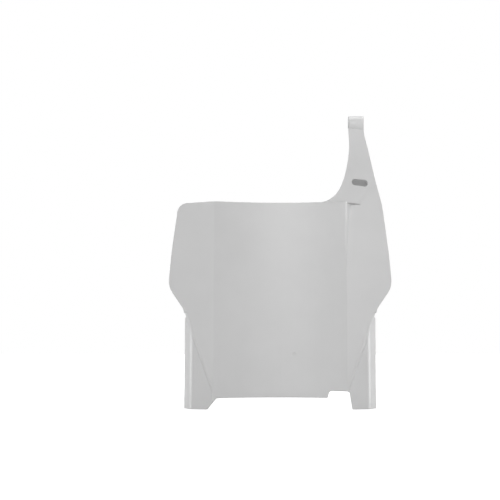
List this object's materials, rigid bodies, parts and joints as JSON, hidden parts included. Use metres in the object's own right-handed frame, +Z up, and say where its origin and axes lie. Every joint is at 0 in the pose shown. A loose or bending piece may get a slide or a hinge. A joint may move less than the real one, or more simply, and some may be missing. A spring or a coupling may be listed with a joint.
{
  "type": "motorcycle front number board",
  "caption": "White moulded front number board for an off-road motorcycle, with two feet, a strap slot and a clip hook on a raised arm.",
  "frame": {"origin": "on the floor under the middle of the board's bounding box, standing on its two feet and leaning back 5.5 degrees", "axes": "+X to the right seen from the face, +Y back from the face, +Z up along the height"},
  "size_m": [0.2426, 0.0716, 0.3226],
  "materials": {
    "white_polypropylene": "fine moulded texture, satin"
  },
  "bodies": {
    "root": {"number_board": "white_polypropylene"}
  },
  "joints": []
}
